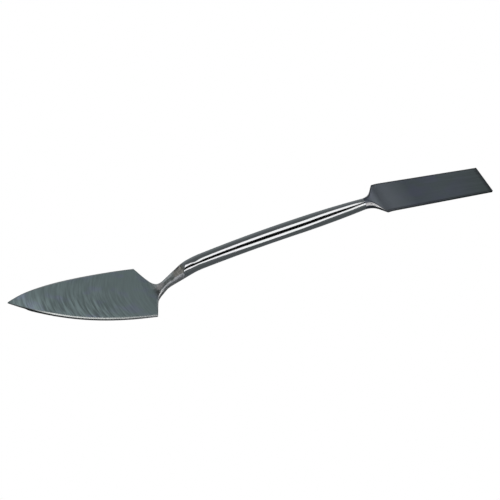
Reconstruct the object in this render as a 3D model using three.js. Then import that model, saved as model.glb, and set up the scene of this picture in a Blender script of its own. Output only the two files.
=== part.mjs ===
// A plasterer's trowel-and-square small tool: a round steel grip with a pointed trowel blade on a cranked neck
// at one end and a square-ended blade at the other. Millimetres, +X towards the square blade, +Y across the
// blades, +Z up. The tool lies on z = 0, on the heel of its crank and on the end of its square blade.
// Every solid is skinned over cross-sections that stand square to one centre-line, placed by their distance
// along it from the trowel's tip.
import * as THREE from 'three';

// Driving dimensions.

// The centre-line from the side: straight legs, each corner rounded over `reach` on both sides of it.
const CENTRE_LINE = [
  { x: -124.6, z: 27.8, reach: 0 }, // tip of the trowel
  { x: -88.5, z: 12.4, reach: 16 }, // the front half of the trowel lifts a little
  { x: -52.4, z: 0.6, reach: 2.7 }, // the crank turns up behind the heel
  { x: -36.0, z: 11.15, reach: 7.2 }, // top of the crank
  { x: -2.9, z: 13.4, reach: 20 }, // the grip levels out
  { x: 67.3, z: 13.05, reach: 2.2 }, // root of the square blade
  { x: 124.6, z: 0.6, reach: 0 }, // end of the square blade
];

const TROWEL_LENGTH = 70.75;
const TROWEL_WIDTH = 32.1;
const TROWEL_THICKNESS = 1.4;
const TIP_WIDTH = 0.4;
const TIP_THICKNESS = 0.6;
const TIP_LENGTH = 8; // the tip thins over this length

const HEEL_LENGTH = 10.95; // the heel narrows to the neck over this length
const NECK_WIDTH = 4.4;
const NECK_THICKNESS = 3;
const NECK_LENGTH = 14.8; // the neck swells to the grip over this length

const GRIP_DIAMETER = 7.6; // at its thickest
const GRIP_TROWEL_DIAMETER = 7.15;
const GRIP_SQUARE_DIAMETER = 5.55;
const GRIP_THICKEST_AT = 155; // distance from the trowel's tip

const SHOULDER_LENGTH = 8.5; // the grip widens to the square blade over this length
const SQUARE_LENGTH = 60.6;
const SQUARE_ROOT_WIDTH = 19.2;
const SQUARE_END_WIDTH = 17.6;
const SQUARE_THICKNESS = 1.2;

const EDGE_RADIUS = 0.15; // along the edges of both blades
const NECK_TOP_EDGE_RADIUS = 0.8; // beside the ground flat on top of the neck
const NECK_FOOT_EDGE_RADIUS = 1.1;
const WELD_LENGTH = 1.2; // each flush weld seam, along the bar
const SEAM_GAP = 0.05; // kept between a weld seam and its neighbours

const ARC_STEPS = 6; // points round each corner of a cross-section

// Colours, roughness and metalness of the surfaces.
const GROUND_STEEL = { color: 0x8b9396, roughness: 0.42, metalness: 1 };
const POLISHED_STEEL = { color: 0xc9cbcc, roughness: 0.08, metalness: 1 };
const DARK_STEEL = { color: 0x6b727a, roughness: 0.5, metalness: 1 };
const WELD_STEEL = { color: 0x77736b, roughness: 0.45, metalness: 1 };

const flat = (x, y) => new THREE.Vector2(x, y);
const mix = THREE.MathUtils.lerp;

function makeCentreLine() {
  const corners = CENTRE_LINE.map(({ x, z }) => flat(x, z));
  const toward = (from, to, distance) =>
    to.clone().sub(from).setLength(distance).add(from);
  const line = new THREE.Path();
  line.moveTo(corners[0].x, corners[0].y);
  for (let i = 1; i < corners.length - 1; i++) {
    const corner = corners[i];
    const before = toward(corner, corners[i - 1], CENTRE_LINE[i].reach);
    const after = toward(corner, corners[i + 1], CENTRE_LINE[i].reach);
    line.lineTo(before.x, before.y);
    line.quadraticCurveTo(corner.x, corner.y, after.x, after.y);
  }
  line.lineTo(corners.at(-1).x, corners.at(-1).y);
  return line;
}

const centreLine = makeCentreLine();
const totalLength = centreLine.getLength();

// Places along the centre-line, as distances from the trowel's tip.
const heelAt = TROWEL_LENGTH;
const neckAt = heelAt + HEEL_LENGTH;
const gripAt = neckAt + NECK_LENGTH;
const trowelWeldAt = gripAt - 3.6;
const squareAt = totalLength - SQUARE_LENGTH;
const shoulderAt = squareAt - SHOULDER_LENGTH;
const squareWeldAt = shoulderAt - WELD_LENGTH;

/** `count` + 1 evenly spaced distances from `start` to `end`. */
function steps(start, end, count) {
  return Array.from({ length: count + 1 }, (_, i) => mix(start, end, i / count));
}

/** A cross-section: half its width and height, and the radii of its top and bottom corners. */
function section(at, halfWidth, halfHeight, topRadius, bottomRadius = topRadius) {
  const limit = Math.min(halfWidth, halfHeight);
  return {
    at,
    halfWidth,
    halfHeight,
    topRadius: Math.min(topRadius, limit),
    bottomRadius: Math.min(bottomRadius, limit),
  };
}

/** The points of one cross-section, counter-clockwise seen from the square blade's end. */
function ring({ at, halfWidth, halfHeight, topRadius, bottomRadius }) {
  const where = at / totalLength;
  const centre = centreLine.getPoint(where);
  const along = centreLine.getTangent(where);
  const points = [];
  for (let quarter = 0; quarter < 4; quarter++) {
    const radius = quarter < 2 ? topRadius : bottomRadius;
    const cornerY = (halfWidth - radius) * (quarter === 0 || quarter === 3 ? 1 : -1);
    const cornerHeight = (halfHeight - radius) * (quarter < 2 ? 1 : -1);
    for (let i = 0; i < ARC_STEPS; i++) {
      const angle = (quarter + (i + 0.5) / ARC_STEPS) * (Math.PI / 2);
      const y = cornerY + radius * Math.cos(angle);
      const height = cornerHeight + radius * Math.sin(angle);
      points.push(centre.x - along.y * height, y, centre.y + along.x * height);
    }
  }
  return points;
}

/** A closed solid skinned over cross-sections in order along the centre-line. */
function loft(sections) {
  const size = 4 * ARC_STEPS;
  const index = [];
  for (let i = 0; i < sections.length - 1; i++) {
    for (let j = 0; j < size; j++) {
      const a = i * size + j;
      const b = i * size + ((j + 1) % size);
      index.push(a, b, b + size, a, b + size, a + size);
    }
  }
  const last = (sections.length - 1) * size;
  for (let j = 1; j < size - 1; j++) {
    index.push(0, j + 1, j);
    index.push(last, last + j, last + j + 1);
  }
  const geometry = new THREE.BufferGeometry();
  const positions = sections.flatMap(ring);
  geometry.setAttribute('position', new THREE.Float32BufferAttribute(positions, 3));
  geometry.setIndex(index);
  geometry.computeVertexNormals();
  return geometry;
}

/** The pointed leaf of the trowel, from its tip to its heel. */
function leafSections() {
  const edge = new THREE.CubicBezierCurve(
    flat(0, TIP_WIDTH / 2),
    flat(13, 7.9),
    flat(32.2, 15.55),
    flat(heelAt, TROWEL_WIDTH / 2),
  );
  return edge.getPoints(22).map(({ x, y }) => {
    const thickness = mix(TIP_THICKNESS, TROWEL_THICKNESS, Math.min(x / TIP_LENGTH, 1));
    return section(x, y, thickness / 2, EDGE_RADIUS);
  });
}

/** The heel: its sides sweep in to the neck while it thickens. */
function heelSections() {
  const edge = new THREE.CubicBezierCurve(
    flat(heelAt, TROWEL_WIDTH / 2),
    flat(heelAt + 4.3, 6.3),
    flat(heelAt + 4.8, 2.9),
    flat(neckAt, NECK_WIDTH / 2),
  );
  return edge.getPoints(12).slice(1).map(({ x, y }) => {
    const share = (x - heelAt) / HEEL_LENGTH;
    const thickness = mix(TROWEL_THICKNESS, NECK_THICKNESS, share);
    const topRadius = mix(EDGE_RADIUS, NECK_TOP_EDGE_RADIUS, share);
    const bottomRadius = mix(EDGE_RADIUS, NECK_FOOT_EDGE_RADIUS, share);
    return section(x, y, thickness / 2, topRadius, bottomRadius);
  });
}

/** The neck between the heel and the round grip, flat on top where it is thin. */
function neckSection(at) {
  const share = (at - neckAt) / NECK_LENGTH;
  const swell = THREE.MathUtils.smoothstep(at, neckAt, gripAt);
  const width = mix(NECK_WIDTH, GRIP_TROWEL_DIAMETER, swell);
  const thickness = mix(NECK_THICKNESS, GRIP_TROWEL_DIAMETER, swell);
  const topRadius = mix(NECK_TOP_EDGE_RADIUS, GRIP_TROWEL_DIAMETER / 2, share);
  return section(at, width / 2, thickness / 2, topRadius, width / 2);
}

/** The grip is round, and swells to its thickest between its ends. */
function gripSection(at) {
  if (at < gripAt) {
    return neckSection(at);
  }
  const towardTrowel = at < GRIP_THICKEST_AT;
  const end = towardTrowel ? gripAt : shoulderAt;
  const endDiameter = towardTrowel ? GRIP_TROWEL_DIAMETER : GRIP_SQUARE_DIAMETER;
  const share = (at - GRIP_THICKEST_AT) / (end - GRIP_THICKEST_AT);
  const radius = mix(GRIP_DIAMETER, endDiameter, share ** 2) / 2;
  return section(at, radius, radius, radius);
}

/** The shoulders: the grip flattens and widens to the root of the square blade. */
function shoulderSections() {
  const edge = new THREE.CubicBezierCurve(
    flat(shoulderAt, GRIP_SQUARE_DIAMETER / 2),
    flat(squareAt - 3.9, 3.1),
    flat(squareAt - 2.7, 6.4),
    flat(squareAt, SQUARE_ROOT_WIDTH / 2),
  );
  return edge.getPoints(12).slice(1).map(({ x, y }) => {
    const share = THREE.MathUtils.smoothstep(x, shoulderAt, squareAt);
    const thickness = mix(GRIP_SQUARE_DIAMETER, SQUARE_THICKNESS, share);
    const radius = mix(GRIP_SQUARE_DIAMETER / 2, EDGE_RADIUS, share);
    return section(x, y, thickness / 2, radius);
  });
}

/** The square blade, a little narrower at its end than at its root. */
function squareSection(at) {
  const share = (at - squareAt) / SQUARE_LENGTH;
  const width = mix(SQUARE_ROOT_WIDTH, SQUARE_END_WIDTH, share);
  return section(at, width / 2, SQUARE_THICKNESS / 2, EDGE_RADIUS);
}

const tool = new THREE.Group();

function addPiece(name, surface, sections) {
  const mesh = new THREE.Mesh(loft(sections), new THREE.MeshStandardMaterial(surface));
  mesh.name = name;
  tool.add(mesh);
}

const neckSteps = steps(neckAt, trowelWeldAt, 8).slice(1);
addPiece('trowel_blade', GROUND_STEEL, [
  ...leafSections(),
  ...heelSections(),
  ...neckSteps.map(neckSection),
]);

const trowelSeam = [trowelWeldAt + SEAM_GAP, trowelWeldAt + WELD_LENGTH];
addPiece('trowel_weld', WELD_STEEL, trowelSeam.map(neckSection));

const gripStart = trowelWeldAt + WELD_LENGTH + SEAM_GAP;
const gripEnd = squareWeldAt - SEAM_GAP;
addPiece('shank', POLISHED_STEEL, [
  ...steps(gripStart, gripAt, 2).map(gripSection),
  ...steps(gripAt, gripEnd, 18).slice(1).map(gripSection),
]);

const squareSeam = [squareWeldAt, shoulderAt - SEAM_GAP];
addPiece('square_weld', WELD_STEEL, squareSeam.map(gripSection));

addPiece('square_blade', DARK_STEEL, [
  gripSection(shoulderAt),
  ...shoulderSections(),
  ...steps(squareAt, totalLength, 4).slice(1).map(squareSection),
]);

// The tool lies on z = 0 and is centred over the origin.
const box = new THREE.Box3().setFromObject(tool);
const centre = box.getCenter(new THREE.Vector3());
tool.position.set(-centre.x, 0, -box.min.z);

export default tool;
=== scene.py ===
"""The looks of a plasterer's trowel-and-square small tool: five steel pieces lofted along one centre-line.

Every piece is skinned over cross-sections that stand square to the centre-line and are placed by their
distance along it from the trowel's tip. Lengths are in millimetres until a vertex is made.
"""
from bisect import bisect_right
from dataclasses import dataclass
from math import asin, cos, degrees, exp, pi, radians, sin

import bmesh
import bpy
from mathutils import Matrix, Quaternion, Vector


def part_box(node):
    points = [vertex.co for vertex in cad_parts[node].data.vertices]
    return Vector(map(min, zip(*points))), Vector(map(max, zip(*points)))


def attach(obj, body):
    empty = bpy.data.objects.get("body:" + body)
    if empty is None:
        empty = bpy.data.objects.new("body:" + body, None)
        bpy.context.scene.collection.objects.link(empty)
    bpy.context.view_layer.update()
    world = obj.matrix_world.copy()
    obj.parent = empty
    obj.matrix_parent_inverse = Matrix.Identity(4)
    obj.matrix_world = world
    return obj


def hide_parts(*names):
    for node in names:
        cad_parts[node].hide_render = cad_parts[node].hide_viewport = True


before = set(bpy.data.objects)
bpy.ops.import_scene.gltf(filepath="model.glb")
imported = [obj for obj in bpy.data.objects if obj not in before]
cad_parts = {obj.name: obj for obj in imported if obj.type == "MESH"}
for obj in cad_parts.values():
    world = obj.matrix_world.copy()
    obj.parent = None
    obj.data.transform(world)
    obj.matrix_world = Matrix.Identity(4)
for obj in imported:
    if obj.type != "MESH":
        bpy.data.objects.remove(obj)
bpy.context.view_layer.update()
MM = 0.001

# ---------------------------------------------------------------- driving dimensions, as in the CAD part

# The centre-line from the side: x, z, and how far each corner's rounding reaches along both legs.
CENTRE_LINE = [
    (-124.6, 27.8, 0),  # tip of the trowel
    (-88.5, 12.4, 16),  # the front half of the trowel lifts a little
    (-52.4, 0.6, 2.7),  # the crank turns up behind the heel
    (-36.0, 11.15, 7.2),  # top of the crank
    (-2.9, 13.4, 20),  # the grip levels out
    (67.3, 13.05, 2.2),  # root of the square blade
    (124.6, 0.6, 0),  # end of the square blade
]

TROWEL_LENGTH = 70.75
TROWEL_WIDTH = 32.1
TROWEL_THICKNESS = 1.4
TIP_WIDTH = 0.4
TIP_THICKNESS = 0.6
TIP_LENGTH = 8

HEEL_LENGTH = 10.95
NECK_WIDTH = 4.4
NECK_THICKNESS = 3
NECK_LENGTH = 14.8

GRIP_DIAMETER = 7.6
GRIP_TROWEL_DIAMETER = 7.15
GRIP_SQUARE_DIAMETER = 5.55
GRIP_THICKEST_AT = 155

SHOULDER_LENGTH = 8.5
SQUARE_LENGTH = 60.6
SQUARE_ROOT_WIDTH = 19.2
SQUARE_END_WIDTH = 17.6
SQUARE_THICKNESS = 1.2

WELD_LENGTH = 1.2
WELD_BEFORE_GRIP = 3.6  # from the trowel's weld to where the grip has its full thickness
SEAM_GAP = 0.05

# What only the looks have.
BEVEL_WIDTH = 0.6  # the trowel's ground edge, on its upper face
BEVEL_HEIGHT = 0.25
TIP_BEVEL = (0.1, 0.05)  # its width and height at the tip
BEVEL_FADE = (8, 18)  # it grows from nothing between these distances from the tip
TIP_RELIEF = (7, 9.5)  # nearer the tip than this the underside is ground away
TIP_RELIEF_SHARE = 0.35  # and this share of the underside's depth is left
LEAF_CROWN = 0.12  # the leaf's upper face falls this much towards its edges
BLADE_EDGE = 0.15  # rounding of a blade's other edges
HEEL_FOOT = (0.5, 0.6)  # rounding of the trowel's lower edge at its heel, across and high
HEEL_FOOT_FROM = 58  # it grows from here, measured from the tip
HEEL_FILLET = 1.0  # the heel's upper rounding is this much wider where its sides turn in most
SQUARE_EDGE = 0.22
SQUARE_END_EDGE = 0.12
NECK_CORNER = (0.75, 0.8)  # rounding beside the neck's upper flat where it is thinnest
NECK_FOOT = 1.1
FLAT_END = (93.0, 95.8)  # the ground flat on top of the neck runs out onto the round bar between these
FLAT_FAR_HEIGHT = 2.6  # of that flat's far side above the centre-line, where it ends
FLAT_NEAR_HEIGHT = 2.0
PIT_AT = 90.5  # a small pit in the flat: distance from the tip, and across
PIT_ACROSS = 1.6
PIT_DEPTH = 0.3
PIT_RADIUS = 0.55

CURVE_STEPS = 120  # points on each rounded corner of the centre-line
SHARP_EDGE = radians(24)


def mix(a, b, share):
    return a + (b - a) * share


def ease(share):
    share = min(max(share, 0), 1)
    return share * share * (3 - 2 * share)


def ramp(value, start, end):
    """0 before start, 1 beyond end and an S-shaped rise between them; end may be the lower one."""
    return ease((value - start) / (end - start))


def steps(start, end, count):
    """count + 1 evenly spaced values from start to end."""
    return [mix(start, end, i / count) for i in range(count + 1)]


def bezier(points, share):
    """A point on the cubic curve with these four control points."""
    rest = 1 - share
    weights = (rest**3, 3 * rest**2 * share, 3 * rest * share**2, share**3)
    return sum((Vector(p) * w for p, w in zip(points, weights)), Vector((0, 0)))


class CentreLine:
    """Straight legs with rounded corners in the (x, z) plane, measured by distance from the tip."""

    def __init__(self, corners):
        places = [Vector(corners[0][:2])]
        for before, (x, z, reach), after in zip(corners, corners[1:], corners[2:]):
            corner = Vector((x, z))
            start = corner + (Vector(before[:2]) - corner).normalized() * reach
            end = corner + (Vector(after[:2]) - corner).normalized() * reach
            for share in steps(0, 1, CURVE_STEPS):
                bend = 2 * share * (1 - share)
                places.append((1 - share) ** 2 * start + bend * corner + share**2 * end)
        places.append(Vector(corners[-1][:2]))
        self.places = places
        self.distances = [0.0]
        for a, b in zip(places, places[1:]):
            self.distances.append(self.distances[-1] + (b - a).length)
        self.length = self.distances[-1]

    def point(self, at):
        at = min(max(at, 0), self.length)
        i = min(bisect_right(self.distances, at), len(self.places) - 1)
        span = self.distances[i] - self.distances[i - 1]
        return self.places[i - 1].lerp(self.places[i], (at - self.distances[i - 1]) / span)

    def direction(self, at, reach=0.3):
        return (self.point(at + reach) - self.point(at - reach)).normalized()


line = CentreLine(CENTRE_LINE)

# Distances from the trowel's tip.
heel_at = TROWEL_LENGTH
neck_at = heel_at + HEEL_LENGTH
grip_at = neck_at + NECK_LENGTH
trowel_weld_at = grip_at - WELD_BEFORE_GRIP
square_at = line.length - SQUARE_LENGTH
shoulder_at = square_at - SHOULDER_LENGTH
square_weld_at = shoulder_at - WELD_LENGTH


def shift_to_cad():
    """From the centre-line's coordinates to the part's: the square blade's end is where the CAD has it."""
    low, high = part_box("square_blade")
    end = line.point(line.length)
    along = line.direction(line.length)
    half = SQUARE_THICKNESS / 2
    return Vector((high.x / MM - end.x + along.y * half, low.z / MM - end.y + along.x * half))


shift = shift_to_cad()

# ---------------------------------------------------------------- cross-sections and lofts

FACE_STEPS = 10  # points across half of the upper face
CORNER_STEPS = 14
FOOT_STEPS = 10
RIM_BAND = 0.3  # the rim's colour, where highlights and shade are painted, fades into the face over this width
SQUARE_BAND = 0.9  # on the square blade
WALL_BAND = 0.04


@dataclass
class Cut:
    """One cross-section. A corner is a quarter ellipse (across, high), cut off level at `turn` degrees."""

    at: float
    half_width: float
    top: float
    bottom: float
    corner: tuple
    foot: tuple
    turn: float = 90
    near_top: float = None  # where the near side's corner differs from the far side's
    near_turn: float = None
    crown: float = 0
    chamfer: float = 0  # 1 makes the corner a straight bevel
    polish_and_painted_light: float = 0
    band: float = RIM_BAND

    def side(self, top, turn, middle):
        """(across, height, rim, lean) from the middle of the upper face round to that of the lower one."""
        wide, high = self.corner
        face = self.face(turn)
        edge = top - self.crown
        base = edge - high * sin(turn)
        band = min(self.band, face / 3)
        bulge = 3 if self.crown else 1
        points = []
        for i in range(FACE_STEPS):
            y = (face - band) * i / (FACE_STEPS - 1)
            share = (y / max(face, 1e-6)) ** bulge
            points.append((y, mix(middle, edge, share), 0, 1))
        for i in range(CORNER_STEPS + 1):
            share = i / CORNER_STEPS
            angle = turn * (1 - share)
            y = self.half_width - wide + wide * cos(angle)
            height = base + high * sin(angle)
            y = mix(y, mix(face, self.half_width, share), self.chamfer)
            height = mix(height, mix(edge, base, share), self.chamfer)
            points.append((y, height, 1, angle / (pi / 2)))
        wide, high = self.foot
        start = high - self.bottom
        points.append((self.half_width, max(base - WALL_BAND, mix(base, start, 0.5)), 2, 0))
        for i in range(FOOT_STEPS + 1):
            angle = pi / 2 * i / FOOT_STEPS
            y = self.half_width - wide + wide * cos(angle)
            points.append((y, start - high * sin(angle), 2, 0))
        sole = self.half_width - wide
        points.append((max(sole - min(self.band, sole / 3), 0), -self.bottom, 0, 0))
        return points + [(sole / 3, -self.bottom, 0, 0), (0, -self.bottom, 0, 0)]

    def face(self, turn):
        """Half the width of the upper face, on a side whose corner is cut off at this angle."""
        return self.half_width - self.corner[0] * (1 - cos(turn))

    def ring(self):
        """(place, rim, polish, lean) all round, with the place in metres in the part's frame."""
        near_top = self.top if self.near_top is None else self.near_top
        turn = radians(self.turn)
        near_turn = turn if self.near_turn is None else radians(self.near_turn)
        near_face, far_face = self.face(near_turn), self.face(turn)
        share = near_face / max(near_face + far_face, 1e-6)
        middle = mix(near_top, self.top, share)
        half = self.side(self.top, turn, middle)
        other = [(-y, height, rim, lean) for y, height, rim, lean in self.side(near_top, near_turn, middle)]
        centre = line.point(self.at) + shift
        along = line.direction(self.at)
        ring = []
        for y, height, rim, lean in half + other[-2:0:-1]:
            if height > 0:
                away = ((self.at - PIT_AT) ** 2 + (y - PIT_ACROSS) ** 2) / PIT_RADIUS**2
                height -= PIT_DEPTH * exp(-away)
            place = Vector((centre.x - along.y * height, y, centre.y + along.x * height))
            ring.append((place * MM, rim, self.polish_and_painted_light, lean))
        return ring


def loft(name, cuts):
    """A closed, smooth-shaded skin over the cuts.

    Its vertices carry three values for the finish: rim, which is 0 on the faces, 1 on the upper corners and
    2 on the walls below them; polish, which marks the polished heel fillet and shoulders, where highlights
    and shade are also painted into the colour; and lean, which falls round an upper corner from 1 to 0.
    """
    bm = bmesh.new()
    rim_layer = bm.verts.layers.float.new("rim")
    polish_layer = bm.verts.layers.float.new("polish_and_painted_light")
    lean_layer = bm.verts.layers.float.new("lean")
    rings = []
    for cut in cuts:
        ring = []
        for place, rim, polish_and_painted_light, lean in cut.ring():
            vertex = bm.verts.new(place)
            vertex[rim_layer] = rim
            vertex[polish_layer] = polish_and_painted_light
            vertex[lean_layer] = lean
            ring.append(vertex)
        rings.append(ring)
    for ring, following in zip(rings, rings[1:]):
        for i, vertex in enumerate(ring):
            after = (i + 1) % len(ring)
            bm.faces.new((vertex, ring[after], following[after], following[i]))
    for face in bm.faces:
        face.smooth = True
    bm.faces.new(rings[0])
    bm.faces.new(rings[-1])
    bmesh.ops.remove_doubles(bm, verts=bm.verts, dist=2e-6)
    bmesh.ops.recalc_face_normals(bm, faces=bm.faces)
    mesh = bpy.data.meshes.new(name)
    bm.to_mesh(mesh)
    bm.free()
    mesh.set_sharp_from_angle(angle=SHARP_EDGE)
    piece = bpy.data.objects.new(name, mesh)
    bpy.context.scene.collection.objects.link(piece)
    return piece


def leaf_cuts():
    """The pointed leaf of the trowel, from its tip to its heel."""
    edge = ((0, TIP_WIDTH / 2), (13, 7.9), (32.2, 15.55), (heel_at, TROWEL_WIDTH / 2))
    cuts = []
    for share in steps(0, 1, 90):
        at, half_width = bezier(edge, share)
        half = mix(TIP_THICKNESS, TROWEL_THICKNESS, min(at / TIP_LENGTH, 1)) / 2
        size = ramp(at, *BEVEL_FADE)
        bevel = (mix(TIP_BEVEL[0], BEVEL_WIDTH, size), mix(TIP_BEVEL[1], BEVEL_HEIGHT, size))
        bottom = half * mix(TIP_RELIEF_SHARE, 1, ramp(at, *TIP_RELIEF))
        crown = LEAF_CROWN * min(half_width / (TROWEL_WIDTH / 2), 1)
        worn = ramp(at, HEEL_FOOT_FROM, heel_at)
        foot = tuple(mix(BLADE_EDGE, size, worn) for size in HEEL_FOOT)
        cuts.append(Cut(at, half_width, half, bottom, bevel, foot, crown=crown, chamfer=1))
    return cuts


def heel_cuts():
    """The heel: its sides sweep in to the neck while it thickens."""
    edge = (
        (heel_at, TROWEL_WIDTH / 2),
        (heel_at + 4.3, 6.3),
        (heel_at + 4.8, 2.9),
        (neck_at, NECK_WIDTH / 2),
    )
    cuts = []
    for share in steps(0, 1, 60)[1:]:
        at, half_width = bezier(edge, share)
        along = (at - heel_at) / HEEL_LENGTH
        half = mix(TROWEL_THICKNESS, NECK_THICKNESS, along) / 2
        rounded = ramp(along, 0, 0.4)  # the leaf's bevel has turned into a rounding
        fillet = mix(BEVEL_WIDTH, NECK_CORNER[0], along)
        fillet += HEEL_FILLET * ramp(along, 0, 0.2) * ramp(along, 0.6, 0.2)
        corner = (fillet, mix(BEVEL_HEIGHT, NECK_CORNER[1], rounded))
        edges = [mix(size, BLADE_EDGE, ramp(along, 0, 0.25)) for size in HEEL_FOOT]
        foot = tuple(mix(size, NECK_FOOT, along**2) for size in edges)
        crown = LEAF_CROWN * (1 - rounded)
        shine = ramp(along, 0.2, 0.35) * ramp(along, 0.92, 0.72)
        finish = {"crown": crown, "chamfer": 1 - rounded, "polish_and_painted_light": shine}
        cuts.append(Cut(at, half_width, half, half, corner, foot, **finish))
    return cuts


def bar_size(at):
    """Half-width and half-thickness of the neck and the grip."""
    if at < grip_at:
        swell = ease((at - neck_at) / NECK_LENGTH)
        width = mix(NECK_WIDTH, GRIP_TROWEL_DIAMETER, swell)
        thickness = mix(NECK_THICKNESS, GRIP_TROWEL_DIAMETER, swell)
        return width / 2, thickness / 2
    towards_trowel = at < GRIP_THICKEST_AT
    end = grip_at if towards_trowel else shoulder_at
    end_diameter = GRIP_TROWEL_DIAMETER if towards_trowel else GRIP_SQUARE_DIAMETER
    share = (at - GRIP_THICKEST_AT) / (end - GRIP_THICKEST_AT)
    radius = mix(GRIP_DIAMETER, end_diameter, share**2) / 2
    return radius, radius


def bar_cut(at):
    """The neck has a ground flat on top, and the bar is round from where the flat runs out."""
    half_width, half = bar_size(at)
    start, end = FLAT_END
    radius = bar_size(start)[0]
    thin = NECK_THICKNESS / 2
    sides = []
    for flat_height in (FLAT_FAR_HEIGHT, FLAT_NEAR_HEIGHT):
        start_turn = degrees(asin(flat_height / radius))
        if at < start:
            share = (at - neck_at) / (start - neck_at)
            sides.append((mix(thin, flat_height, share), mix(90, start_turn, share)))
        else:
            turn = mix(start_turn, 90, min((at - start) / (end - start), 1))
            sides.append((half * sin(radians(turn)), turn))
    share = min((at - neck_at) / (start - neck_at), 1)
    corner = (mix(NECK_CORNER[0], half_width, ease(share)), mix(NECK_CORNER[1], half, ease(share)))
    foot = mix(NECK_FOOT, half, ease((at - neck_at) / NECK_LENGTH))
    (top, turn), (near_top, near_turn) = sides
    return Cut(at, half_width, top, half, corner, (foot, foot), turn, near_top, near_turn)


def shoulder_cuts():
    """The shoulders: the grip flattens and widens to the root of the square blade."""
    edge = (
        (shoulder_at, GRIP_SQUARE_DIAMETER / 2),
        (square_at - 3.9, 3.1),
        (square_at - 2.7, 6.4),
        (square_at, SQUARE_ROOT_WIDTH / 2),
    )
    cuts = []
    for share in steps(0, 1, 60):
        at, half_width = bezier(edge, share)
        along = (at - shoulder_at) / SHOULDER_LENGTH
        half = mix(GRIP_SQUARE_DIAMETER, SQUARE_THICKNESS, ease(along)) / 2
        radius = min(mix(half, SQUARE_EDGE, ramp(along, 0.5, 1)), half_width)
        corner = (radius, radius)
        # The shoulders' polished rims also carry a painted glint and painted shade.
        finish = {"polish_and_painted_light": ramp(along, 1, 0.6), "band": SQUARE_BAND * along}
        cuts.append(Cut(at, half_width, half, half, corner, corner, **finish))
    return cuts


def square_cuts():
    """The square blade, a little narrower at its end than at its root."""
    cuts = []
    edge = (SQUARE_EDGE, SQUARE_EDGE)
    edge_at = line.length - SQUARE_END_EDGE
    for at in steps(square_at, edge_at, 40)[1:] + [line.length]:
        inset = max(at - edge_at, 0)
        width = mix(SQUARE_ROOT_WIDTH, SQUARE_END_WIDTH, (at - square_at) / SQUARE_LENGTH)
        half = SQUARE_THICKNESS / 2 - inset
        cuts.append(Cut(at, width / 2 - inset, half, half, edge, edge, band=SQUARE_BAND))
    return cuts


# ---------------------------------------------------------------- materials


class Steel:
    """A steel finish: a material, and short ways to add nodes to it."""

    def __init__(self, name):
        self.material = bpy.data.materials.new(name)
        self.material.use_nodes = True
        self.tree = self.material.node_tree
        self.shader = self.tree.nodes["Principled BSDF"]
        self.shader.inputs["Metallic"].default_value = 1
        self.place = self.node("ShaderNodeTexCoord").outputs["Object"]

    def node(self, kind, inputs=None, **settings):
        made = self.tree.nodes.new(kind)
        for name, value in settings.items():
            setattr(made, name, value)
        for name, value in (inputs or {}).items():
            if isinstance(value, bpy.types.NodeSocket):
                self.tree.links.new(value, made.inputs[name])
            else:
                made.inputs[name].default_value = value
        return made

    def math(self, operation, a, b):
        return self.node("ShaderNodeMath", {0: a, 1: b}, operation=operation).outputs[0]

    def product(self, first, *others):
        for other in others:
            first = self.math("MULTIPLY", first, other)
        return first

    def coordinates(self):
        """Object coordinates in millimetres, as x, y and z."""
        split = self.node("ShaderNodeSeparateXYZ", {0: self.place})
        return [self.math("MULTIPLY", split.outputs[i], 1 / MM) for i in range(3)]

    def noise(self, place, size, detail):
        """Noise about 0.5 whose blobs are about `size` long, which may differ along x, y and z."""
        scaled = [self.math("DIVIDE", c, s) for c, s in zip(place, size)]
        vector = self.node("ShaderNodeCombineXYZ", dict(enumerate(scaled))).outputs[0]
        inputs = {"Vector": vector, "Scale": 1.0, "Detail": detail, "Roughness": 0.5}
        return self.node("ShaderNodeTexNoise", inputs).outputs["Fac"]

    def spread(self, value, low, high, to_low=0.0, to_high=1.0):
        """value from low..high stretched to to_low..to_high and held there outside."""
        inputs = {0: value, 1: low, 2: high, 3: to_low, 4: to_high}
        return self.node("ShaderNodeMapRange", inputs, clamp=True).outputs[0]

    def blend(self, share, a, b, mode="MIX"):
        """Colour a turning into colour b as share goes from 0 to 1."""
        made = self.node("ShaderNodeMix", data_type="RGBA", blend_type=mode)
        for i, value in ((0, share), (6, a), (7, b)):
            if isinstance(value, bpy.types.NodeSocket):
                self.tree.links.new(value, made.inputs[i])
            else:
                made.inputs[i].default_value = value if i == 0 else (*value, 1)
        return made.outputs[2]

    def spot(self, *axes):
        """1 at a spot's middle and 0 outside it; for each axis its coordinate, the middle and the radius."""
        away = 0.0
        for value, middle, radius in axes:
            share = self.math("DIVIDE", self.math("SUBTRACT", value, middle), radius)
            away = self.math("ADD", self.math("MULTIPLY", share, share), away)
        return self.spread(away, 1, 0.3)

    def patch(self, tone, x, y, look):
        """The tone with a round patch of another colour on it."""
        (x_middle, x_radius), (y_middle, y_radius), colour = look
        return self.blend(self.spot((x, x_middle, x_radius), (y, y_middle, y_radius)), tone, colour)

    def attribute(self, name):
        return self.node("ShaderNodeAttribute", attribute_name=name).outputs["Fac"]

    def finish(self, colour, roughness, bump, depth):
        """Joins the colour and roughness to the shader, and a bump `depth` millimetres deep."""
        self.tree.links.new(colour, self.shader.inputs["Base Color"])
        self.tree.links.new(roughness, self.shader.inputs["Roughness"])
        made = self.node("ShaderNodeBump", {"Height": bump, "Distance": depth * MM})
        self.tree.links.new(made.outputs[0], self.shader.inputs["Normal"])
        return self.material


# The finishes' places are in the part's millimetres, and a pair says where one look turns into the next.
GRIND_RADIUS = 28  # the curved marks that the grinding disc left across the trowel
GRIND_MIDDLE = -3.6  # their foremost point lies this far off the blade's middle
MARKS_ACROSS = (6, -8)  # they are faint on the far side of the first and full on the near side of the second
MARKS_ALONG = (-66, -84)
LIGHT_FRONT = (-106, -116)
DARK_TIP = (-121.5, -124.5)
LEAF_GREEN = (0.42, 0.50, 0.495)
LEAF_BLUE = (0.435, 0.484, 0.56)

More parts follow.
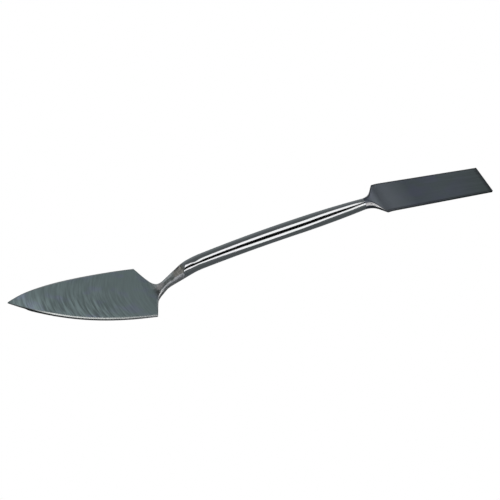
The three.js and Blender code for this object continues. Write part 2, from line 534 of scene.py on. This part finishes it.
NECK_FROM = (-55.4, -53)
NECK_DARK = (0.22, 0.24, 0.24)
NECK_PALE = (0.31, 0.33, 0.33)
HEAT_FROM = (-44.2, -43.2)
HEAT_DARK = (0.275, 0.27, 0.25)
HEAT_PALE = (0.43, 0.415, 0.385)
FAR_LINE_ACROSS = (0.2, 0.8)  # a light line beside the flat, on its far side
FAR_LINE_ALONG = (-43.5, -45)
FAR_LINE = (0.64, 0.68, 0.68)
# Painted highlight on the neck's rounded corners.
NECK_RIM_HIGHLIGHT = (0.62, 0.63, 0.66)
# Patches on the neck's flat: middle and radius along the tool, middle and radius across it, and the colour.
PALE_PATCH = ((-51.0, 2.4), (0.3, 1.7), (0.60, 0.575, 0.58))
GREEN_PATCH = ((-44.9, 1.2), (-1.3, 0.9), (0.19, 0.21, 0.20))
SMUDGE = ((-53.0, 1.5), (-2.2, 1.2), (0.20, 0.20, 0.20))

BEVEL_FROM = (-116, -106)  # nearer the tip the bevel carries painted shade instead of its painted highlight
BEVEL_ALONG = (-84, -62)  # and its painted highlight dims towards the heel
BEVEL_SHADE = (0.16, 0.18, 0.18)
BEVEL_HIGHLIGHT = (0.80, 0.82, 0.80)
BEVEL_DIM_HIGHLIGHT = (0.60, 0.62, 0.62)
# Painted shade on the wall under the bevel towards the tip, and painted light towards the heel and on the
# neck.
WALL_ALONG = (-84, -64)
WALL_SHADE = (0.16, 0.17, 0.17)
WALL_LIGHT = (0.75, 0.74, 0.74)
WALL_NECK_LIGHT = (0.6, 0.6, 0.6)
# The polished heel strip's colour, a painted highlight.
POLISHED_HIGHLIGHT = (0.95, 0.95, 0.95)
PIT_DARK = (0.05, 0.05, 0.05)


def ground_steel():
    """Grey-green ground steel: curved marks on the leaf, a painted highlight on its bevel, painted light and
    shade on its walls, and a worn, patchy neck with painted highlights on its rounded corners.
    """
    steel = Steel("ground_steel")
    x, y, z = steel.coordinates()
    rim = steel.attribute("rim")
    edge = steel.spread(rim, 0.1, 1)

    # The leaf: curved marks, strongest in front and on the near half.
    off = steel.math("SUBTRACT", y, GRIND_MIDDLE)
    sag = steel.math("DIVIDE", steel.product(off, off), 2 * GRIND_RADIUS)
    arc = steel.math("SUBTRACT", x, sag)
    streaks = steel.noise((arc, y, z), (1.1, 10, 60), 3)
    fine = steel.noise((arc, y, z), (0.3, 6, 60), 2)
    patches = steel.noise((x, y, z), (8, 6, 9), 1)
    strength = steel.product(steel.spread(y, *MARKS_ACROSS, 0.3, 1), steel.spread(x, *MARKS_ALONG, 0.2, 1))
    mark = steel.product(steel.spread(streaks, 0.38, 0.64, -0.28, 0.48), strength)
    mark = steel.math("ADD", mark, steel.spread(fine, 0.3, 0.7, -0.05, 0.05))
    front = steel.spread(x, *LIGHT_FRONT, 1, 1.35)
    shade = steel.product(steel.math("ADD", mark, 1), front, steel.spread(x, *DARK_TIP, 1, 0.55))
    tone = steel.blend(steel.spread(patches, 0.52, 0.70), LEAF_GREEN, LEAF_BLUE)
    tone = steel.blend(1.0, tone, shade, "MULTIPLY")

    # The neck: a blotchy flat with a brown heat tint towards the weld, a pale patch near the blade, and a
    # painted highlight on its rounded corners.
    blotch = steel.spread(steel.noise((x, y, z), (1.3, 1.0, 1.0), 3), 0.38, 0.62)
    worn = steel.blend(blotch, NECK_DARK, NECK_PALE)
    heat = steel.blend(blotch, HEAT_DARK, HEAT_PALE)
    worn = steel.blend(steel.spread(x, *HEAT_FROM), worn, heat)
    far_line = steel.product(steel.spread(y, *FAR_LINE_ACROSS), steel.spread(x, *FAR_LINE_ALONG))
    worn = steel.blend(far_line, worn, FAR_LINE)
    worn = steel.patch(worn, x, y, PALE_PATCH)
    # The neck's rounded corners are lighter: a painted highlight.
    worn = steel.blend(steel.spread(rim, 0.4, 1, 0, 0.9), worn, NECK_RIM_HIGHLIGHT)
    worn = steel.patch(worn, x, y, GREEN_PATCH)
    worn = steel.patch(worn, x, y, SMUDGE)
    neck = steel.spread(x, *NECK_FROM)
    tone = steel.blend(neck, tone, worn)

    # The edges: the bevel's painted highlight, painted shade and light on the wall under it, and the
    # polished strip where the heel's sides turn in, with a painted highlight.
    # The bevel's colour is a painted highlight that dims towards the heel and turns to painted shade near
    # the tip.
    bevel = steel.blend(steel.spread(x, *BEVEL_ALONG), BEVEL_HIGHLIGHT, BEVEL_DIM_HIGHLIGHT)
    bevel = steel.blend(steel.spread(x, *BEVEL_FROM), BEVEL_SHADE, bevel)
    leaf_edge = steel.product(edge, steel.math("SUBTRACT", 1.0, neck))
    tone = steel.blend(leaf_edge, tone, bevel)
    # The wall under the bevel is painted: painted shade towards the tip, painted light towards the heel and
    # on the neck.
    wall = steel.blend(steel.spread(x, *WALL_ALONG), WALL_SHADE, WALL_LIGHT)
    wall = steel.blend(neck, wall, WALL_NECK_LIGHT)
    tone = steel.blend(steel.spread(rim, 1.1, 1.6, 0, 0.7), tone, wall)
    # The polished strip where the heel's sides turn in is smoother, and its colour is a painted highlight.
    shine = steel.product(edge, steel.attribute("polish_and_painted_light"))
    tone = steel.blend(shine, tone, POLISHED_HIGHLIGHT)

    pit_x = line.point(PIT_AT).x + shift.x
    tone = steel.patch(tone, x, y, ((pit_x, 0.9), (PIT_ACROSS, 0.45), PIT_DARK))

    rough = steel.spread(streaks, 0.35, 0.7, 0.40, 0.34)
    rough = steel.math("SUBTRACT", rough, steel.product(leaf_edge, 0.10))
    rough = steel.math("ADD", rough, steel.product(neck, steel.spread(rim, 0, 1, 0.10, 0.22)))
    rough = steel.math("SUBTRACT", rough, steel.product(shine, 0.22))
    bump = steel.math("ADD", streaks, steel.product(fine, 0.35))
    return steel.finish(tone, rough, bump, 0.03)


def polished_steel():
    """Mirror-polished bar, with hardly visible polishing marks along it."""
    steel = Steel("polished_steel")
    place = steel.coordinates()
    marks = steel.noise(place, (14, 0.35, 0.35), 2)
    haze = steel.noise(place, (11, 5, 5), 2)
    tone = steel.blend(steel.spread(haze, 0.4, 0.6), (0.77, 0.79, 0.79), (0.79, 0.79, 0.81))
    rough = steel.spread(haze, 0.3, 0.7, 0.05, 0.10)
    return steel.finish(tone, rough, marks, 0.004)


# The shoulders' polished rims carry a painted glint with painted shade beside it.
SHOULDER_FROM = (58, 61)
GLINT_START = (57.5, 60.5)  # the glint is narrower nearer the grip than this
GLINT_LOW = (0.20, 0.28)  # its edges round the corner: 0 is at the foot and 1 on the face
GLINT_HIGH = (0.80, 0.74)
RIM_SHADE_FROM = (59.5, 63)
ROOT_FROM = (59, 66)
ROOT_TO = (83, 67)
END_FROM = (98, 122)
# Where the end edge's painted shade lies.
END_LINE = (121.9, 123.6)
SQUARE_GREY = (0.155, 0.183, 0.198)
SQUARE_BLUE = (0.163, 0.178, 0.232)
SQUARE_ROOT = (0.325, 0.345, 0.385)
SQUARE_END = (0.118, 0.143, 0.143)
SQUARE_MARKS = (0.215, 0.24, 0.27)
# Painted shade along the rims and end edge, then the shoulders' painted shade and painted glint.
SQUARE_EDGE_SHADE = (0.05, 0.055, 0.06)
SHOULDER_SHADE = (0.05, 0.05, 0.055)
GLINT = (1.0, 0.99, 1.0)


def dark_steel():
    """Dark blue-grey satin steel, lightest at its root: painted shade along its rims and end edge, and a
    painted glint with painted shade beside it on each shoulder.
    """
    steel = Steel("dark_steel")
    place = steel.coordinates()
    x = place[0]
    rim = steel.attribute("rim")
    lean = steel.attribute("lean")
    marks = steel.noise(place, (22, 0.5, 8), 3)
    clouds = steel.noise(place, (13, 7, 8), 1)
    root = steel.product(steel.spread(x, *ROOT_TO), steel.spread(x, *ROOT_FROM, 0.1, 1))
    tone = steel.blend(steel.spread(clouds, 0.4, 0.62), SQUARE_GREY, SQUARE_BLUE)
    tone = steel.blend(root, tone, SQUARE_ROOT)
    tone = steel.blend(steel.spread(x, *END_FROM), tone, SQUARE_END)
    # A dark line along the end edge: painted shade.
    tone = steel.blend(steel.spread(x, *END_LINE, 0, 0.9), tone, SQUARE_EDGE_SHADE)
    tone = steel.blend(steel.spread(marks, 0.4, 0.75, 0, 0.25), tone, SQUARE_MARKS)

    # On each shoulder a glint is painted into the colour, with painted shade beside it.
    shoulder = steel.product(steel.spread(rim, 0.2, 0.9), steel.attribute("polish_and_painted_light"))
    upper = steel.math("ADD", lean, steel.spread(x, *GLINT_START, 0.18, 0))
    glint = steel.product(steel.spread(lean, *GLINT_LOW), steel.spread(upper, *GLINT_HIGH), shoulder)
    # Painted shade along the rims, fainter on the walls below them.
    rim_shade = steel.product(steel.spread(rim, 0, 0.6, 0, 0.6), steel.spread(x, *RIM_SHADE_FROM))
    rim_shade = steel.product(rim_shade, steel.spread(rim, 1.1, 1.8, 1, 0.3))
    tone = steel.blend(rim_shade, tone, SQUARE_EDGE_SHADE)
    painted_shoulder_shade = steel.product(shoulder, steel.spread(x, *SHOULDER_FROM, 0.1, 0.7))
    tone = steel.blend(painted_shoulder_shade, tone, SHOULDER_SHADE)
    tone = steel.blend(glint, tone, GLINT)

    rough = steel.spread(marks, 0.3, 0.7, 0.44, 0.36)
    rough = steel.math("ADD", rough, steel.product(glint, 0.06))
    bump = steel.product(marks, steel.math("SUBTRACT", 1.0, shoulder))
    return steel.finish(tone, rough, bump, 0.02)


WELD_BARE = (0.76, 0.78, 0.80)
WELD_DARK = (0.28, 0.275, 0.255)
WELD_PALE = (0.44, 0.425, 0.39)


def weld_steel():
    """A weld ground flush, polished like the bar but for a brown heat tint on the neck's flat."""
    steel = Steel("weld_steel")
    place = steel.coordinates()
    spots = steel.noise(place, (1.1, 0.9, 0.9), 3)
    # The square end's weld, at x above 0, has no tint.
    bare = steel.math("MAXIMUM", steel.spread(steel.attribute("rim"), 0.2, 1), steel.spread(place[0], -1, 1))
    tone = steel.blend(steel.spread(spots, 0.38, 0.62), WELD_DARK, WELD_PALE)
    tone = steel.blend(bare, tone, WELD_BARE)
    rough = steel.blend(bare, (0.4, 0.4, 0.4), (0.09, 0.09, 0.09))
    return steel.finish(tone, rough, spots, 0.004)


# ---------------------------------------------------------------- pieces


def place_piece(name, material, cuts):
    piece = loft(name + "_skin", cuts)
    piece.data.materials.append(material)
    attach(piece, "root")
    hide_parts(name)


neck_steps = steps(neck_at, trowel_weld_at, 44)[1:]
place_piece(
    "trowel_blade",
    ground_steel(),
    leaf_cuts() + heel_cuts() + [bar_cut(at) for at in neck_steps],
)

weld = weld_steel()
trowel_seam = steps(trowel_weld_at + SEAM_GAP, trowel_weld_at + WELD_LENGTH, 8)
place_piece("trowel_weld", weld, [bar_cut(at) for at in trowel_seam])

shank_at = trowel_weld_at + WELD_LENGTH + SEAM_GAP
shank_steps = steps(shank_at, grip_at, 16) + steps(grip_at, square_weld_at - SEAM_GAP, 160)[1:]
place_piece("shank", polished_steel(), [bar_cut(at) for at in shank_steps])

square_seam = steps(square_weld_at, shoulder_at - SEAM_GAP, 6)
place_piece("square_weld", weld, [bar_cut(at) for at in square_seam])

place_piece("square_blade", dark_steel(), shoulder_cuts() + square_cuts())

# ---------------------------------------------------------------- studio

# Dim light that the steel reflects from the room, by angle about the tool's length: 0 is level towards
# the near side, 90 straight up, 180 level towards the far side.
ROOM = [
    (-180, 0.19),
    (-120, 0.14),
    (-84, 0.10),
    (-30, 0.09),
    (12, 0.13),
    (20, 0.005),
    (74, 0.005),
    (84, 0.09),
    (120, 0.10),
    (134, 0.105),
    (150, 0.134),
    (168, 0.185),
    (180, 0.19),
]
ROOM_TINT = (0.90, 1.0, 1.04)
# The light changes beyond the square blade's end: these are directions, as the sine of their angle.
ROOM_END = (0.35, 0.6)  # along the tool, from unchanged to fully changed
ROOM_HORIZON = (-0.05, 0.1)  # up, from the low light to the high light
ROOM_END_LIGHT = (0.4, 2.0)  # how many times the light is stronger there, low down and high up


def make_world():
    world = bpy.data.worlds.new("studio")
    bpy.context.scene.world = world
    world.use_nodes = True
    nodes, links = world.node_tree.nodes, world.node_tree.links
    way = nodes.new("ShaderNodeTexCoord")
    split = nodes.new("ShaderNodeSeparateXYZ")
    links.new(way.outputs["Generated"], split.inputs[0])
    near = nodes.new("ShaderNodeMath")
    near.operation = "MULTIPLY"
    near.inputs[1].default_value = -1
    links.new(split.outputs[1], near.inputs[0])
    angle = nodes.new("ShaderNodeMath")
    angle.operation = "ARCTAN2"
    links.new(split.outputs[2], angle.inputs[0])
    links.new(near.outputs[0], angle.inputs[1])
    turn = nodes.new("ShaderNodeMapRange")
    turn.inputs[1].default_value = -pi
    turn.inputs[2].default_value = pi
    links.new(angle.outputs[0], turn.inputs[0])
    ramp = nodes.new("ShaderNodeValToRGB")
    links.new(turn.outputs[0], ramp.inputs[0])
    stops = ramp.color_ramp.elements
    while len(stops) > 1:
        stops.remove(stops[0])
    for i, (degree, light) in enumerate(ROOM):
        stop = stops[0] if i == 0 else stops.new((degree + 180) / 360)
        stop.position = (degree + 180) / 360
        stop.color = (*(light * c for c in ROOM_TINT), 1)
    links.new(ramp.outputs[0], nodes["Background"].inputs[0])
    links.new(make_end_lift(nodes, links, split), nodes["Background"].inputs[1])


def make_end_lift(nodes, links, way):
    """The room's strength: 1, but beyond the blade's end it is weaker low down and stronger high up."""
    height = nodes.new("ShaderNodeMapRange")
    links.new(way.outputs[2], height.inputs[0])
    for i, value in enumerate((*ROOM_HORIZON, *ROOM_END_LIGHT)):
        height.inputs[i + 1].default_value = value
    along = nodes.new("ShaderNodeMapRange")
    links.new(way.outputs[0], along.inputs[0])
    for i, value in enumerate((*ROOM_END, 1)):
        along.inputs[i + 1].default_value = value
    links.new(height.outputs[0], along.inputs[4])
    return along.outputs[0]


PANEL_DISTANCE = 400
PANEL_LIGHT = 1.15
PANEL_ENDS = (-2600, 1800)
PANEL_ROWS = 360
PANEL_COLUMNS = 8
END_PANEL_PLACE = (290, 190, 35)
END_PANEL_SIZE = (50, 170)  # across and high


def bell(x, middle, reach):
    """1 at the middle, falling away to both sides."""
    return exp(-(((x - middle) / reach) ** 2))


def panel_edges(x):
    """The angles between which the low and the high light panel stand, at x along the tool.

    They are shaped so that the polished bar shows its bands of light where the real one does.
    """
    dip = bell(x, 116, 60)
    pinch = bell(x, -130, 110)
    rise = ramp(x, 143, 188)
    opening = ramp(x, 400, 600)
    first = ramp(x, -70, -150)
    last = ramp(x, 224, 236)
    beyond = ramp(x, -330, -410)
    widening = 5 * ramp(x, 150, 210) + 12 * ramp(x, 195, 255)
    low_from = 21 - 31 * dip + 5 * first + 6 * last - 45 * beyond
    low_to = 36 - 12 * dip + widening + 8 * (first + last) + 20 * beyond
    high_from = 64 + 7 * ramp(x, -20, 20) - 3 * dip + 16 * first + 9 * rise - 29 * opening
    high_to = 100 - 25 * pinch + 22 * first + 10 * rise + 12 * opening
    # Beyond the bar's square end the high panel is closed for a stretch.
    high_to = mix(high_to, high_from, last * ramp(x, 420, 320))
    return (low_from, low_to), (high_from, high_to)


def make_panels():
    """Two long white panels curved round the tool, which only its reflections see."""
    for i, name in enumerate(("low_panel", "high_panel")):
        bm = bmesh.new()
        rows = []
        for x in steps(*PANEL_ENDS, PANEL_ROWS):
            row = []
            for angle in steps(*panel_edges(x)[i], PANEL_COLUMNS):
                turn = radians(angle)
                place = Vector((x, -cos(turn) * PANEL_DISTANCE, sin(turn) * PANEL_DISTANCE))
                row.append(bm.verts.new(place * MM))
            rows.append(row)
        for row, following in zip(rows, rows[1:]):
            for j in range(len(row) - 1):
                bm.faces.new((row[j], row[j + 1], following[j + 1], following[j]))
        mesh = bpy.data.meshes.new(name)
        bm.to_mesh(mesh)
        bm.free()
        light_up(name, mesh)


def make_end_panel():
    """A narrow upright panel beyond the square blade's far corner, which the heel's near fillet reflects."""
    x, y, z = END_PANEL_PLACE
    across, high = END_PANEL_SIZE
    bm = bmesh.new()
    way = Vector((-y, x)).normalized() * across / 2
    corners = ((-way.x, -way.y, -high), (way.x, way.y, -high), (way.x, way.y, high), (-way.x, -way.y, high))
    vertices = [bm.verts.new(Vector((x + dx, y + dy, z + dz / 2)) * MM) for dx, dy, dz in corners]
    bm.faces.new(vertices)
    mesh = bpy.data.meshes.new("end_panel")
    bm.to_mesh(mesh)
    bm.free()
    light_up("end_panel", mesh)


def light_up(name, mesh):
    """Makes the mesh a light panel that only reflections see."""
    panel = bpy.data.objects.new(name, mesh)
    bpy.context.scene.collection.objects.link(panel)
    mesh.materials.append(glow(name, PANEL_LIGHT))
    panel.visible_camera = False
    panel.visible_diffuse = False
    panel.visible_transmission = False
    panel.visible_shadow = False


def glow(name, light):
    material = bpy.data.materials.new(name)
    material.use_nodes = True
    shader = material.node_tree.nodes["Principled BSDF"]
    shader.inputs["Base Color"].default_value = (0, 0, 0, 1)
    shader.inputs["Roughness"].default_value = 1
    shader.inputs["Specular IOR Level"].default_value = 0
    shader.inputs["Emission Color"].default_value = (1, 1, 1, 1)
    shader.inputs["Emission Strength"].default_value = light
    return material


FLOOR_SIZE = 9  # metres, as is the dome's radius
DOME_RADIUS = 4


def make_backdrop():
    """A pale floor and a pale dome round it, which light themselves and which only the camera sees."""
    bpy.ops.mesh.primitive_plane_add(size=FLOOR_SIZE)
    floor = bpy.context.object
    floor.name = "floor"
    bpy.ops.mesh.primitive_uv_sphere_add(radius=DOME_RADIUS, segments=64, ring_count=32)
    dome = bpy.context.object
    dome.name = "backdrop"
    for stage in (floor, dome):
        stage.data.materials.append(glow(stage.name, 1.0))
        stage.visible_glossy = False
        stage.visible_diffuse = False
        stage.visible_transmission = False
        stage.visible_shadow = False


# The photograph's viewpoint.
AZIMUTH = radians(-22.779)
ELEVATION = radians(48.662)
ROLL = radians(-1.254)
DISTANCE = 0.86763
AIM = Vector((-0.00406, 0, 0.00769))  # beside the middle of the tool, on the level of its grip
LENS = 129.6


def make_camera():
    data = bpy.data.cameras.new("camera")
    data.lens = LENS
    data.sensor_width = 36
    data.clip_end = 100
    camera = bpy.data.objects.new("camera", data)
    bpy.context.scene.collection.objects.link(camera)
    level = cos(ELEVATION)
    back = Vector((sin(AZIMUTH) * level, -cos(AZIMUTH) * level, sin(ELEVATION)))
    camera.location = AIM + back * DISTANCE
    camera.rotation_mode = "QUATERNION"
    upright = (-back).to_track_quat("-Z", "Y")
    camera.rotation_quaternion = upright @ Quaternion((0, 0, 1), ROLL)
    bpy.context.scene.camera = camera


make_world()
make_panels()
make_end_panel()
make_backdrop()
make_camera()
bpy.context.scene.view_settings.view_transform = "Standard"
